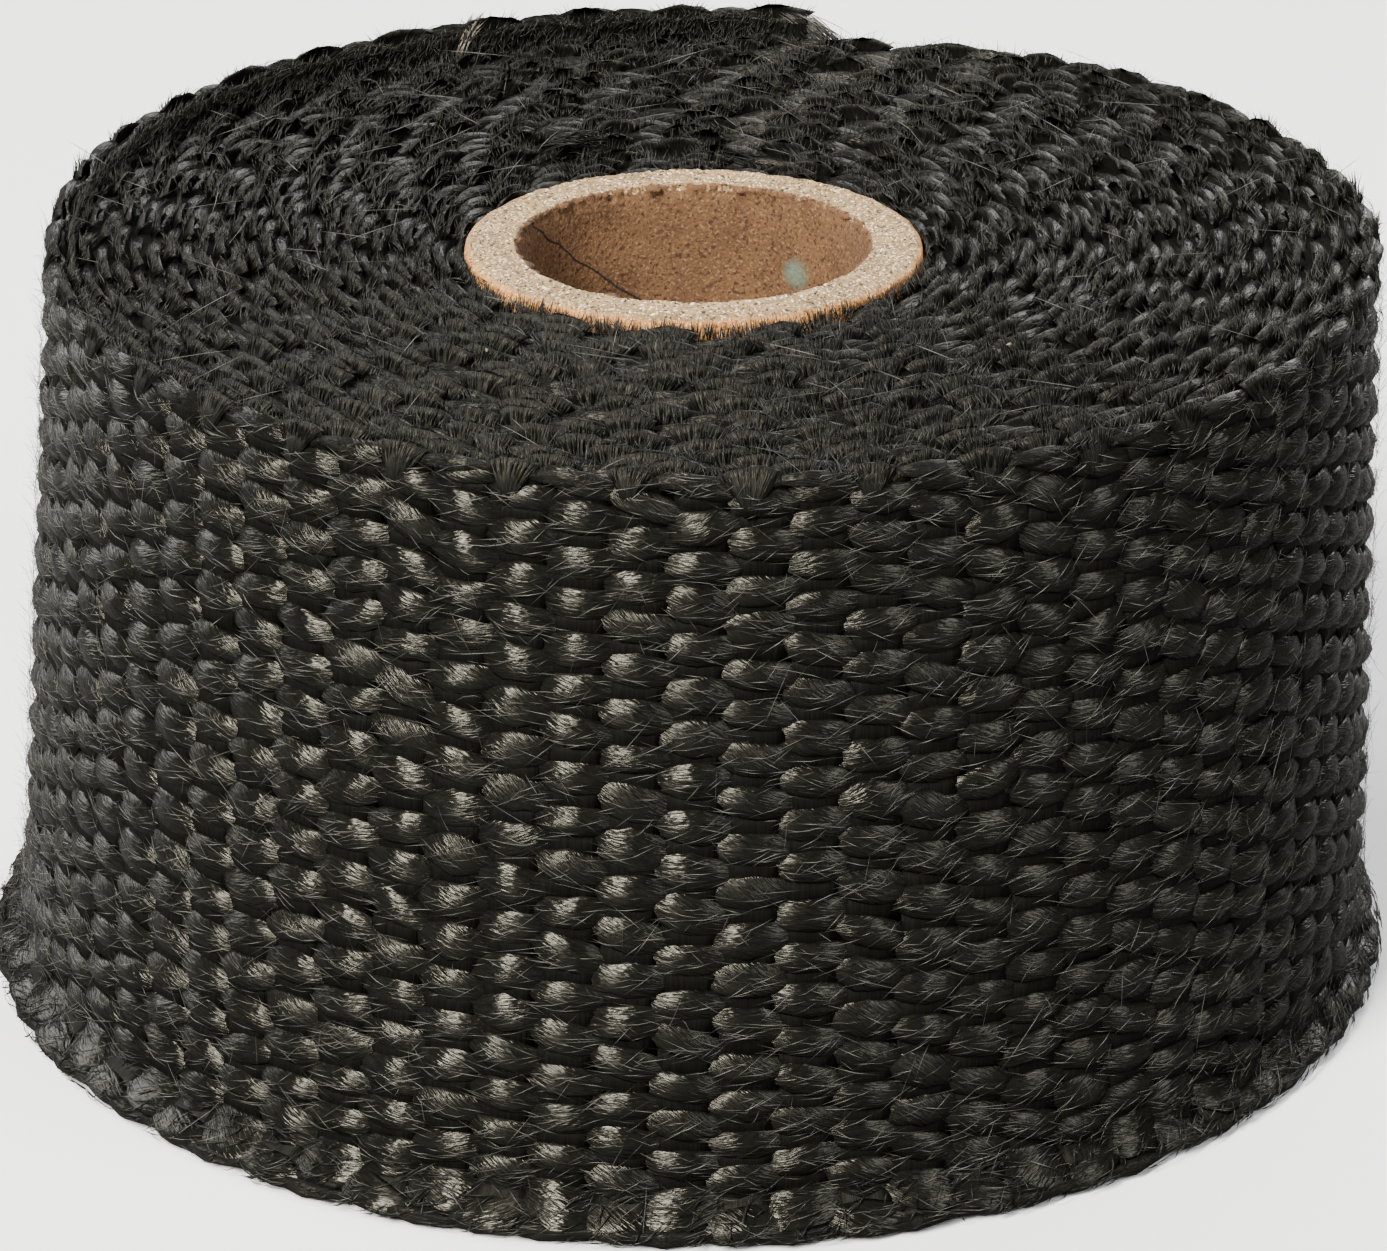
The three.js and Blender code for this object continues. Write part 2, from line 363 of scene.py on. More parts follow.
def warp_rows(rows, rng):
    """Points and texture coordinates of warp yarns that go over the same columns."""
    parity = int(rows[0]) % 2
    columns, over, cells = [], [], [[0]]
    for column in range(LAST_COLUMNS):
        shares = OVER_SHARES if (column + parity) % 2 == 0 else UNDER_SHARES
        columns.append(column + shares)
        over.append(np.full(len(shares), len(shares) == len(OVER_SHARES)))
        cells.append(np.full(len(shares), column))
    columns, over = np.concatenate([[-COLUMN_SHIFT], *columns]), np.concatenate([[False], *over])
    cell = np.concatenate(cells)
    share = columns - cell
    count = len(rows)
    from_middle = np.clip(np.abs(2 * share - 1) / 1.26, 0, 1)
    arch = 1 - from_middle ** 2
    bulge = 1 - from_middle ** 2.8

    def vary(spread):
        return rng.normal(0, spread, (count, LAST_COLUMNS))[:, cell]

    high = np.where(over, -0.02 + (0.62 + vary(0.06)) * arch, -0.3)
    pitch = np.gradient(row_height(np.arange(WARP_ROWS)))[rows][:, None]
    width = np.where(over, (1.02 + vary(0.06) + (0.62 + vary(0.1)) * bulge) * pitch, 0.7 * pitch)
    width = width * (1 + rng.normal(0, 0.06, width.shape)) * np.where(rows < 3, 1.16, 1.0)[:, None]
    deep = np.where(over, 0.22 + 0.26 * bulge, 0.2)
    slant = vary(0.1) + (vary(0.2) - 0.12) * (share - 0.5) * 2
    middle = row_height(rows)[:, None] + np.where(over, slant, 0)
    turns = turns_at(columns)
    lift = crest_at(turns) / TAPE_WIDTH
    q = SECTION[None, None, :]
    crown = 1 - np.abs(q) ** 2.3
    ridges = rng.normal(0, 0.06, (count, LAST_COLUMNS, len(SECTION)))[:, cell, :]
    ridges = ridges * np.where(over, 1, 0.3)[None, :, None] * (1 - np.abs(q) ** 6)
    outer_z = middle[:, :, None] + q * width[:, :, None] / 2
    outer_off = (high - deep)[:, :, None] + deep[None, :, None] * crown + ridges
    inner_q = np.array([0.7, -0.7])
    inner_z = middle[:, :, None] + inner_q * width[:, :, None] / 2
    inner_off = (high - deep)[:, :, None] - 0.2 + 0 * inner_z
    z = np.concatenate([outer_z, inner_z], -1)
    off = np.concatenate([outer_off, inner_off], -1) + lip_flare(turns[None, :, None], z)
    z = np.maximum(z, 0.12) * lift[None, :, None]
    points = roll_point(turns[None, :, None], z, off)
    across = np.concatenate([SECTION, [0.7, -0.7]]) * 0.95
    yarn = np.empty(points.shape[:3] + (2,))
    yarn[..., 0] = columns[None, :, None] * COLUMN_PITCH + rows[:, None, None] * 37.7
    twist = rng.normal(0.12, 0.22, (count, LAST_COLUMNS))[:, cell] * (share - 0.5) * COLUMN_PITCH
    yarn[..., 1] = across + twist[:, :, None] + rows[:, None, None] * 5.3 + cell[None, :, None] * 2.9
    return points, yarn


def make_warp(name, first, last, seed):
    """One band of warp yarns as one piece."""
    rng = np.random.default_rng(seed)
    all_points, all_yarn, groups, used = [], [], [], 0
    for parity in (0, 1):
        rows = np.array([r for r in range(first, last) if r % 2 == parity])
        points, yarn = warp_rows(rows, rng)
        groups += tube_faces(points.shape[0], points.shape[1], points.shape[2], used)
        used += points.shape[0] * points.shape[1] * points.shape[2]
        all_points.append(points.reshape(-1, 3))
        all_yarn.append(yarn.reshape(-1, 2))
    return make_piece(name, np.concatenate(all_points), groups, np.concatenate(all_yarn))


warp_low = make_warp("warp_low", 0, 12, 11)
warp_middle = make_warp("warp_middle", 12, 24, 12)
warp_high = make_warp("warp_high", 24, 36, 13)

# %% [markdown]
# A weft yarn runs straight up the tape. It comes to the surface beside each place where a warp
# yarn dives, so it has two points a row and one flat section, and shows only in the slits.

# %% Weft yarns
rng = np.random.default_rng(21)
weft_columns = np.arange(LAST_COLUMNS)
weft_row = np.repeat(np.arange(WARP_ROWS), 2)
weft_place = np.tile([-0.24, 0.24], WARP_ROWS)
pitch = np.gradient(row_height(np.arange(WARP_ROWS)))[weft_row]
weft_z = row_height(weft_row) + weft_place * pitch
on_top = (weft_row[None, :] + weft_columns[:, None]) % 2 == 1
weft_high = np.where(on_top, 0.13, -0.32) + rng.normal(0, 0.02, on_top.shape)
ring_q = np.array([-1, -0.45, 0.45, 1, 0.7, -0.7])
ring_off = np.array([-0.12, 0, 0, -0.12, -0.34, -0.34])
weft_col = weft_columns[:, None, None] + 0.5 + ring_q * 0.475
weft_turns = turns_at(weft_col)
weft_heights = weft_z[None, :, None] * crest_at(weft_turns) / TAPE_WIDTH
weft_off = weft_high[:, :, None] + ring_off + lip_flare(weft_turns, weft_z[None, :, None])
weft_points = roll_point(np.broadcast_to(weft_turns, weft_off.shape), weft_heights, weft_off)
weft_yarn = np.empty(weft_off.shape + (2,))
weft_yarn[..., 0] = weft_z[None, :, None]
weft_yarn[..., 1] = ring_q * 1.67 + weft_columns[:, None, None] * 6.1
weft = make_piece("weft", weft_points, tube_faces(LAST_COLUMNS, WARP_ROWS * 2, 6), weft_yarn)

# %% [markdown]
# ## The edges of the tape on top of the roll
# Each turn shows its woven edge on top. The last warp yarn floats there as a small lens, and in
# every second column the weft comes up between two floats and spreads like a brush. We lay one
# edge yarn along the whole spiral, then the fans of weft, then hairs and loose fuzz over both.
# Each turn is longer than the one inside it by almost two columns, so the fans would line up in
# diagonal waves. The real yarn wanders, and a small drift to and fro breaks the waves up.

# %% Length wound so far
def wound_length(turns):
    """Length of tape wound after so many turns, in millimetres."""
    turns = np.asarray(turns, float)
    return 2 * np.pi * (START_RADIUS * turns + TAPE_THICKNESS * (turns * turns - turns) / 2)


def turns_for(length):
    """The same, the other way round."""
    b = START_RADIUS - TAPE_THICKNESS / 2
    return (-b + np.sqrt(b * b + TAPE_THICKNESS * np.asarray(length, float) / np.pi)) / TAPE_THICKNESS


OUTER_COLUMNS = 76
whole = wound_length(TURNS)
print("tape length", round(float(whole) / 1000, 2), "m")


def edge_turns(column):
    """How much is wound at an edge column. Inside the roll the columns drift to and fro a little."""
    column = np.asarray(column, float)
    drift = 0
    for reach, pace, start in ((1.1, 0.073, 0.4), (0.8, 0.157, 2.1), (0.5, 0.31, 4)):
        drift = drift + reach * np.sin(column * pace + start)
    drift = drift * smooth((column - OUTER_COLUMNS) / 20)
    return turns_for(whole - (column + COLUMN_SHIFT) * COLUMN_PITCH + drift)


# %% Edge yarn of both ends
def make_edge(name, top, seed, steps_a_column):
    """The outermost warp yarn along the whole spiral, at the upper or the lower edge."""
    rng = np.random.default_rng(seed)
    columns = int((whole - wound_length(0.45)) / COLUMN_PITCH)
    column = np.arange(0, columns * steps_a_column) / steps_a_column
    turns = edge_turns(column)
    cell = np.floor(column).astype(int)
    share = column - cell
    over = cell % 2 == 1
    bulge = np.sin(np.pi * share)
    jitter = rng.normal(0, 1, (columns + 1, 4))
    side = np.where(over, 0.16, -0.2) * bulge + jitter[cell, 0] * 0.06
    up = np.where(over, 0.1, -0.45) * bulge - 0.12 + jitter[cell, 1] * 0.1
    wide = np.where(over, 0.36 + 0.16 * bulge, 0.36 - 0.06 * bulge)
    tall = np.where(over, 0.34 + 0.2 * bulge, 0.34)
    angles = np.linspace(0, 2 * np.pi, 7)[:-1] + 0.26
    off = side[:, None] + wide[:, None] * np.cos(angles)
    crest = crest_at(turns)
    if top:
        low = 0.55 + 0.35 * smooth((TURNS - 0.9 - turns) * 5)
        z = (crest - low + up)[:, None] + tall[:, None] * np.sin(angles)
    else:
        z = np.maximum(0.5 - up[:, None] * 0.4 - tall[:, None] * np.sin(angles), 0.0)
        off = off + lip_flare(turns, 0.5)[:, None] * smooth((turns[:, None] - 25) * 20)
    points = roll_point(np.broadcast_to(turns[:, None], z.shape), z, off)
    yarn = np.empty(z.shape + (2,))
    yarn[..., 0] = (column * COLUMN_PITCH)[:, None]
    yarn[..., 1] = np.arange(6) * 0.4 + (cell * 3.1)[:, None]
    return make_piece(name, points, tube_faces(1, len(column), 6), yarn)


top_edge = make_edge("top_edge", True, 31, 4)
bottom_edge = make_edge("bottom_edge", False, 32, 2)

# %% [markdown]
# A fan is a thin blade that climbs out of the tape, spreads and curls over the edge. At the back
# of the last turn the fans are wider and lower. Its hairs stand up out of it, shorter at its sides.

# %% Fans of weft over the upper edge
rng = np.random.default_rng(41)
fan_columns = np.arange(0, int((whole - wound_length(0.6)) / COLUMN_PITCH), 2)
wander = rng.normal(0, 0.06, len(fan_columns)) * (fan_columns > OUTER_COLUMNS)
fan_turns = edge_turns(fan_columns + 0.5 + wander)
fans = len(fan_columns)
at_back = smooth((np.sin(bearing_at(fan_turns)) - 0.15) / 0.4) * (fan_turns > TURNS - 1)
fan_size = rng.uniform(0.85, 1.15, fans)
fan_wide = fan_size * (1 + 0.45 * at_back)
CLIMB = np.array([-2.5, -1.6, -0.8, -0.1, 0.3])
SPLAY = np.array([0.3, 0.6, 1.05, 1.5, 1.75])
CURL = np.array([0.3, 0.62, 0.5, 0.25, 0.02])
blade = np.linspace(-1, 1, 7)
blade = np.concatenate([blade, blade[::-1]])
skin = np.repeat([1.0, 0.0], 7)
ridge = rng.normal(0, 0.05, (fans, 1, 14)) * skin
sideways = blade * SPLAY[:, None] * fan_wide[:, None, None]
drop = (0.35 * np.abs(blade) ** 2.2) * np.array([0, 0, 0.4, 1, 1.4])[:, None]
height = CLIMB[:, None] * fan_size[:, None, None] - drop
height = height + rng.normal(0, 0.07, (fans, 1, 14)) * np.array([0, 0, 0.4, 1, 1])[:, None]
off = CURL[:, None] + ridge - 0.2 * (1 - skin) - 0.15 * np.abs(blade) ** 3 + 0 * height
round_roll = (2 * np.pi * (START_RADIUS + fan_turns * TAPE_THICKNESS))[:, None, None]
height = crest_at(fan_turns)[:, None, None] + height
fan_points = roll_point(fan_turns[:, None, None] + sideways / round_roll, height, off)
fan_yarn = np.empty(fan_points.shape[:3] + (2,))
fan_yarn[..., 0] = (np.arange(5) * 0.8)[None, :, None]
fan_yarn[..., 1] = blade * 1.5 + (np.arange(fans) * 4.7)[:, None, None]
top_fans = make_piece("top_fans", fan_points, tube_faces(fans, 5, 14), fan_yarn)

# %% Hairs that stand up out of the fans
strands = 24
count = fans * strands
centre = np.repeat(fan_turns, strands)
size, wide = np.repeat(fan_size, strands), np.repeat(fan_wide, strands)
side = np.tile(np.linspace(-1, 1, strands), fans) + rng.normal(0, 0.08, count)
around = 2 * np.pi * (START_RADIUS + centre * TAPE_THICKNESS)
splay = np.array([0.8, 1.45, 1.9])
tip = rng.uniform(0.3, 1.35, count) * (1 - 0.45 * side ** 2) * (1 - 0.35 * np.repeat(at_back, strands))
height = crest_at(centre)[:, None] + np.stack([-1.3 + 0 * tip, -0.35 * side ** 2, tip], -1) * size[:, None]
lean = rng.normal(0, 0.16, count) + np.repeat(rng.normal(0, 0.14, fans), strands)
off = np.stack([0.52 + 0 * lean, 0.3 + 0.4 * lean, 0.1 + 1.6 * lean], -1)
paths = roll_point(centre[:, None] + side[:, None] * splay * wide[:, None] / around[:, None], height, off)
top_brushes = make_fibres("top_brushes", paths, rng.uniform(0.05, 0.11, count), rng)


# %% [markdown]
# Between the fans the ends of the roll are a felt of loose hairs. Some lie over the fans in tufts,
# others stand up from below as a pile, which hides the grooves between the turns.

# %% Loose fuzz on the ends of the roll
def make_fuzz(name, tufts, hairs, seed, top, shortest, longest, thickness):
    """Tufts of short loose fibres: each tuft leans its own way, and its hairs nearly agree."""
    rng = np.random.default_rng(seed)
    count = tufts * hairs
    centre = np.repeat(rng.uniform(wound_length(0.5), wound_length(TURNS - 0.01), tufts), hairs)
    turns = turns_for(np.minimum(centre + rng.normal(0, 0.55, count), whole))
    length = rng.uniform(shortest, longest, count) * np.repeat(rng.uniform(0.7, 1.2, tufts), hairs)
    heading = np.repeat(rng.normal(0, 0.7, tufts) + np.where(rng.random(tufts) < 0.5, 0, np.pi), hairs)
    heading = heading + rng.normal(0, 0.35, count)
    lift = np.repeat(rng.uniform(0.1, 1.5, tufts), hairs) * rng.uniform(0.7, 1.05, count)
    outermost = smooth((turns - TURNS + 1.2) * 3)
    length = length * (1 - 0.45 * outermost)
    steps = CENTRED
    around = 2 * np.pi * (START_RADIUS + turns * TAPE_THICKNESS)
    ahead = (np.cos(heading) * np.cos(lift) * length)[:, None] * steps
    middle = np.repeat(rng.normal(0, 0.3, tufts), hairs)[:, None] - 0.3 * outermost[:, None]
    out = (np.sin(heading) * np.cos(lift) * length * 0.6)[:, None] * steps + middle
    out = out + rng.normal(0, 0.1, (count, 1))
    rise = (np.sin(lift) * length)[:, None] * (steps + 0.35) - 0.15 * np.abs(steps)
    if top:
        height = crest_at(turns)[:, None] - 0.25 + rise
    else:
        height = np.maximum(0.35 - rise * 0.4, 0.05)
    paths = roll_point(turns[:, None] + ahead / around[:, None], height, out)
    return make_fibres(name, paths, rng.uniform(thickness * 0.6, thickness * 1.3, count), rng)


top_fuzz = make_fuzz("top_fuzz", 420, 9, 51, True, 0.6, 2.2, 0.07)
bottom_fuzz = make_fuzz("bottom_fuzz", 160, 9, 52, False, 1.0, 2.6, 0.12)

# %% Upright pile between the fans
rng = np.random.default_rng(55)
tufts, hairs = 1300, 10
count = tufts * hairs
place = np.repeat(rng.uniform(wound_length(0.1), wound_length(TURNS - 0.3), tufts), hairs)
turns = turns_for(place + rng.normal(0, 0.5, count))
across = np.repeat(rng.normal(0, 0.34, tufts), hairs) + rng.normal(0, 0.16, count)
tall = np.repeat(rng.uniform(0.5, 1.45, tufts), hairs) * rng.uniform(0.6, 1.25, count)
tilt = np.repeat(rng.normal(0, 0.35, (tufts, 2)), hairs, axis=0) + rng.normal(0, 0.2, (count, 2))
steps = FROM_ROOT
around = 2 * np.pi * (START_RADIUS + turns * TAPE_THICKNESS)
ahead = (tilt[:, 0] * tall)[:, None] * steps ** 1.5 / around[:, None]
out = across[:, None] + (tilt[:, 1] * tall)[:, None] * steps ** 1.5
height = crest_at(turns)[:, None] - 0.75 + tall[:, None] * steps
paths = roll_point(turns[:, None] + ahead, height, out)
top_pile = make_fibres("top_pile", paths, rng.uniform(0.04, 0.09, count), rng)

# %% [markdown]
# The tape's end has slipped up, so its inner face shows at the back. It has upright hairs, and
# over the whole top lie a few long pale fibres that have come loose.

# %% Fuzz on the inner face of the raised end
rng = np.random.default_rng(53)
count = 3600
INNER_FACE_LENGTH = 288
turns = rng.uniform(TURNS - 0.56, TURNS - 0.005, count)
steps = CENTRED
length = rng.uniform(0.6, 2.2, count)
slant = rng.normal(1.35, 0.5, count)
rise = (np.sin(slant) * length)[:, None] * steps
height = crest_at(turns)[:, None] - rng.uniform(0.2, 2.6, (count, 1)) + rise
ahead = (np.cos(slant) * length)[:, None] * steps / INNER_FACE_LENGTH
off = -0.93 - rng.uniform(0, 0.5, (count, 1)) * (steps + 0.6) ** 2
paths = roll_point(turns[:, None] + ahead, np.minimum(height, crest_at(turns)[:, None] + 0.5), off)
inner_fuzz = make_fibres("inner_fuzz", paths, rng.uniform(0.06, 0.14, count), rng)

# %% Long pale fibres that lie on top
rng = np.random.default_rng(54)
count = 170
turns = turns_for(rng.uniform(wound_length(1.5), wound_length(TURNS - 0.02), count))
steps = CENTRED_LONG
length = rng.uniform(1.5, 6.5, count)
heading = rng.uniform(0, np.pi, count)
middle = roll_point(turns, crest_at(turns) + 0.35)
bow = rng.normal(0, 0.35, (count, 1)) * (0.25 - steps ** 2)
x = middle[:, 0, None] + (np.cos(heading) * length)[:, None] * steps - bow * np.sin(heading)[:, None]
y = middle[:, 1, None] + (np.sin(heading) * length)[:, None] * steps + bow * np.cos(heading)[:, None]
grow = np.maximum(1, 17.0 / np.hypot(x, y))
z = middle[:, 2, None] + rng.uniform(-0.1, 0.9, (count, 1)) * (steps + 0.5) + 0.2 * (0.25 - steps ** 2)
paths = np.stack([x * grow, y * grow, z], -1)
top_strays = make_fibres("top_strays", paths, rng.uniform(0.03, 0.06, count), rng)

# %% [markdown]
# ## Stray fibres on the wall
# Glass yarn sheds. Fine pale fibres lie over the floats at a slant and stand off the outline.
# They are separate slim spindles, so they show against the white as on the real roll. Many of
# them stand where the outline is. Shorter ones follow the curve of each float, and the flared
# lower edge gets coarse dark ones, because it is rubbed most.

# %% Stray fibres
rng = np.random.default_rng(61)
count = 3400
LAST_TURN_LENGTH = 290
at_outline = rng.random(count) < 0.4
outline = np.where(rng.random(count) < 0.62, 180, 0) + rng.normal(0, 16, count)
outline_turns = TURNS - 1 + ((math.degrees(TAIL_BEARING) - outline) % 360) / 360
turns_here = np.where(at_outline, outline_turns, turns_at(rng.uniform(0, 76, count)))
height = rng.uniform(1.0, 49.0, count)
length = np.clip(rng.lognormal(0.75, 0.5, count), 0.8, 7.0)
slant = rng.normal(0, 0.5, count)
slant = slant + np.where(rng.random(count) < np.where(at_outline, 0.6, 0.15), np.pi / 2, 0)
steps = CENTRED_LONG
turns = turns_here[:, None] + (np.cos(slant) * length)[:, None] * steps / LAST_TURN_LENGTH
z = height[:, None] + (np.sin(slant) * length)[:, None] * steps
z = np.clip(z + rng.normal(0, 0.7, (count, 1)) * (0.25 - steps ** 2), 0.3, 50)
stand = np.where(at_outline, rng.uniform(0.1, 1.3, count), rng.uniform(0, 0.5, count) ** 2)[:, None]
turns = np.clip(turns, TURNS - 1 + 0.002, TURNS)
off = 0.6 + lip_flare(turns, z) + stand * (steps + 0.5) ** 2
off = off + 0.3 * rng.random((count, 1)) * (0.25 - steps ** 2)
paths = roll_point(turns, z * crest_at(turns) / TAPE_WIDTH, off)
wall_strays = make_fibres("wall_strays", paths, rng.uniform(0.018, 0.04, count), rng)

# %% Short fuzz on the floats
rng = np.random.default_rng(62)
count = 16800
row = rng.integers(0, WARP_ROWS, count)
share = rng.uniform(-0.05, 1.05, count)
column = rng.integers(0, 38, count) * 2 + (row % 2) + share
length = rng.uniform(0.9, 4.0, count)
slant = rng.normal(-0.1, 0.36, count)
steps = CENTRED
run = (np.cos(slant) * length)[:, None] * steps
z = (row_height(row) + rng.normal(0, 0.5, count))[:, None]
z = z + (np.sin(slant) * length)[:, None] * steps
from_middle = (share - 0.5)[:, None] * COLUMN_PITCH - run
off = 0.64 - 0.105 * from_middle ** 2 + rng.uniform(-0.05, 0.14, (count, 1))
off = off + rng.uniform(0, 0.25, (count, 1)) * (steps + 0.5)
turns = np.minimum(turns_at(column)[:, None] + run / LAST_TURN_LENGTH, TURNS)
off = np.maximum(off, 0.16) + lip_flare(turns, z)
paths = roll_point(turns, np.clip(z, 0.2, 49.9) * crest_at(turns) / TAPE_WIDTH, off)
wall_fuzz = make_fibres("wall_fuzz", paths, rng.uniform(0.025, 0.06, count), rng)

# %% Dark fuzz on the lip
rng = np.random.default_rng(63)
count = 1900
turns = rng.uniform(TURNS - 0.998, TURNS - 0.002, count)
steps = CENTRED
length = rng.uniform(0.9, 2.8, count)
slant = rng.normal(-0.45, 0.5, count)
z = 0.35 + 2.9 * rng.random((count, 1)) ** 1.4 + (np.sin(slant) * length)[:, None] * steps * 0.7
z = np.clip(z, 0.25, 6)
turns = turns[:, None] + (np.cos(slant) * length)[:, None] * steps / LAST_TURN_LENGTH
turns = np.clip(turns, TURNS - 0.999, TURNS)
off = 0.62 + rng.uniform(-0.12, 0.2, (count, 1)) + rng.uniform(-0.1, 0.25, (count, 1)) * steps
off = off + lip_flare(turns, z)
lip_fuzz = make_fibres("lip_fuzz", roll_point(turns, z, off), rng.uniform(0.07, 0.16, count), rng)

# %% [markdown]
# ## The frayed ends of the tape
# The tape was cut, so every warp yarn ends in a small brush at the back of the roll, and pale
# fibres hang from the corner of the cut. A pale bundle stands beside it, and the inner end of the
# tape shows as a tuft behind the tube. Six specks of lint have settled on the top.

# %% Tail brush
rng = np.random.default_rng(71)
hairs = 22
count = WARP_ROWS * hairs
row = np.repeat(np.arange(WARP_ROWS), hairs)
OUTER_FACE_LENGTH = 292
length = rng.uniform(0.4, 2.2, count)
steps = FROM_ROOT_LONG
turns = TURNS - 0.004 + (length[:, None] * steps) / OUTER_FACE_LENGTH
z = (row_height(row) + rng.uniform(-0.6, 0.6, count))[:, None]
z = z + rng.normal(0, 0.35, (count, 1)) * steps * length[:, None] * 0.5
z = np.clip(z, 0.2, 49.9) * crest_at(TURNS) / TAPE_WIDTH
z = z - 0.9 * steps ** 1.5 * smooth((row[:, None] - 30) / 5)
off = rng.uniform(-0.35, 0.25, (count, 1)) - rng.uniform(0.0, 0.7, (count, 1)) * steps ** 1.5
paths = roll_point(turns, z, np.maximum(off, -0.55))
tail_brush = make_fibres("tail_brush", paths, rng.uniform(0.1, 0.22, count), rng)

# %% Pale fibres that hang from the tape's end
rng = np.random.default_rng(72)
count = 190
steps = FROM_ROOT_LONG
length = rng.uniform(1.2, 4.6, count)
start_z = crest_at(TURNS) - 0.1 - rng.gamma(1.2, 0.7, count)
turns = TURNS - rng.uniform(0.0, 0.008, count)[:, None] + length[:, None] * steps / LAST_TURN_LENGTH
fall = (rng.uniform(0.35, 1.0, count) * length)[:, None] * steps ** 1.4
off = rng.uniform(-0.5, 0.4, (count, 1)) - 0.5 * steps
paths = roll_point(turns, start_z[:, None] - fall, off)
tail_wisps = make_fibres("tail_wisps", paths, rng.uniform(0.05, 0.11, count), rng)


# %% Bundles of fibres between two points
def make_bundle(name, start, end, count, spread, bow, thickness, seed):
    """A loose bundle of fibres from start to end, bowed upwards in the middle."""
    rng = np.random.default_rng(seed)
    steps = np.array([-0.04, 0.33, 0.66, 1.0])
    start, end = np.array(start), np.array(end)
    begin = start + rng.normal(0, 1, (count, 3)) * np.array(spread[0])
    finish = end + rng.normal(0, 1, (count, 3)) * np.array(spread[1])
    share = steps * rng.uniform(0.75, 1.1, (count, 1))
    paths = begin[:, None] + (finish - begin)[:, None] * share[..., None]
    paths[..., 2] += bow * (1 - (2 * steps - 1) ** 2)
    return make_fibres(name, paths, rng.uniform(0.7, 1.3, count) * thickness, rng)


pale_strand = make_bundle("pale_strand", (-17.2, 38.4, 49.9), (-15.6, 41.2, 52.4), 34,
                          ((0.25, 0.2, 0.2), (0.45, 0.2, 0.2)), 0.3, 0.11, 73)
start_tuft = make_bundle("start_tuft", (-9.6, 20.2, 48.3), (-6.4, 17.4, 50.2), 130,
                         ((1.3, 0.7, 0.3), (0.5, 0.3, 0.5)), 0.5, 0.12, 74)

# %% Specks of lint
rng = np.random.default_rng(75)
specks = np.array([(-24.5, 7.7, 49.9), (19.9, -22.2, 50.1), (-30.0, -6.0, 50.1), (3.4, 33.0, 50.0),
                   (28.0, 8.0, 50.2), (-13.0, -23.0, 50.0)])
corner = np.array([(1, 0, 0), (-1, 0, 0), (0, 1, 0), (0, -1, 0), (0, 0, 1), (0, 0, -1)])
shape = corner * rng.uniform(0.1, 0.24, (len(specks), 6, 1)) + rng.normal(0, 0.03, (len(specks), 6, 3))
sides = np.array([(0, 2, 4), (2, 1, 4), (1, 3, 4), (3, 0, 4), (2, 0, 5), (1, 2, 5), (3, 1, 5), (0, 3, 5)])
speck_faces = (np.arange(len(specks))[:, None, None] * 6 + sides).reshape(-1, 3)
speck_yarn = rng.uniform(0, 20, (len(specks), 6, 2))
lint = make_piece("lint", specks[:, None] + shape, [speck_faces], speck_yarn, smooth_faces=False)

# %% [markdown]
# ## The cardboard core
# The tube is wound from kraft paper: its cut end shows the plies as fine rings, its rim is a
# little ragged, and one dark seam runs down the bore as a screw line.

# %% Core mesh
core_around = 300
angle = np.linspace(0, 2 * np.pi, core_around, endpoint=False)
rng = np.random.default_rng(81)


def wobble(waves, seed, lowest=1):
    """A random closed wavy line round the tube, about -1 to 1."""
    local = np.random.default_rng(seed)
    total = np.zeros(core_around)
    for wave in range(lowest, lowest + waves):
        total += local.normal(0, 1 / math.sqrt(waves)) * np.sin(wave * angle + local.uniform(0, 6.3))
    return total


profile = []
for z in (0.0, 12.0, 24.0, 36.0, 44.0, 47.0, 47.9):
    profile.append((TUBE_RADIUS + 0 * angle, z + 0 * angle))
profile.append((TUBE_RADIUS + 0.02 * wobble(30, 5, 5), 48.45 + 0 * angle))
profile.append((TUBE_RADIUS - 0.03 + 0.03 * wobble(30, 1, 5), TUBE_LENGTH - 0.42 + 0.04 * wobble(30, 2, 3)))
profile.append((TUBE_RADIUS - 0.14 + 0.04 * wobble(40, 6, 5), TUBE_LENGTH - 0.2 + 0.05 * wobble(30, 2, 3)))
plies = np.linspace(TUBE_RADIUS - 0.32, BORE_RADIUS + 0.25, 18)
for number, radius in enumerate(plies):
    step = (-0.04, 0.03, 0.0)[number % 3] - 0.1 * (number == 0)
    grain = rng.normal(0, 0.035, core_around)
    z = TUBE_LENGTH - 0.03 + step + grain + 0.04 * wobble(40, 30 + number, 4)
    profile.append((radius + 0.03 * wobble(30, 10 + number, 6), z))
behind = smooth(1 - np.abs(np.degrees(angle) - 95) / 50)
ragged = rng.normal(0, 0.09, core_around) + 0.15 * wobble(50, 3, 8)
profile.append((BORE_RADIUS + 0.04 + ragged * (1 + behind), TUBE_LENGTH - 0.16 + 0.1 * wobble(50, 4, 8)))
profile.append((BORE_RADIUS + 0.12 + ragged * (0.6 + behind), TUBE_LENGTH - 0.42 + 0.06 * wobble(50, 7, 8)))
for z in (48.4, 47.9, 46.8, 45.0, 42.5, 39.0, 34.0, 26.0, 16.0, 6.0, 0.0):
    profile.append((BORE_RADIUS + 0.04 * wobble(14, int(z * 10) + 50), z + 0 * angle))
core_points = np.stack([np.stack([r * np.cos(angle), r * np.sin(angle), z], -1) for r, z in profile], axis=1)
core_points[..., 2] = np.clip(core_points[..., 2], 0.0, TUBE_LENGTH + 0.2)
core_ring = core_points.shape[1]
core_yarn = np.stack(np.meshgrid(np.arange(core_ring) * 1.0, angle * 13.5), -1)
core_faces = tube_faces(1, core_around, core_ring, loop=True)
core = make_piece("core_tube", core_points, core_faces, core_yarn, replaces=("cardboard_core",))

# %% [markdown]
# Where the first turn touches the tube, its hairs stand up against the board in small clumps,
# and hide most of the orange side.

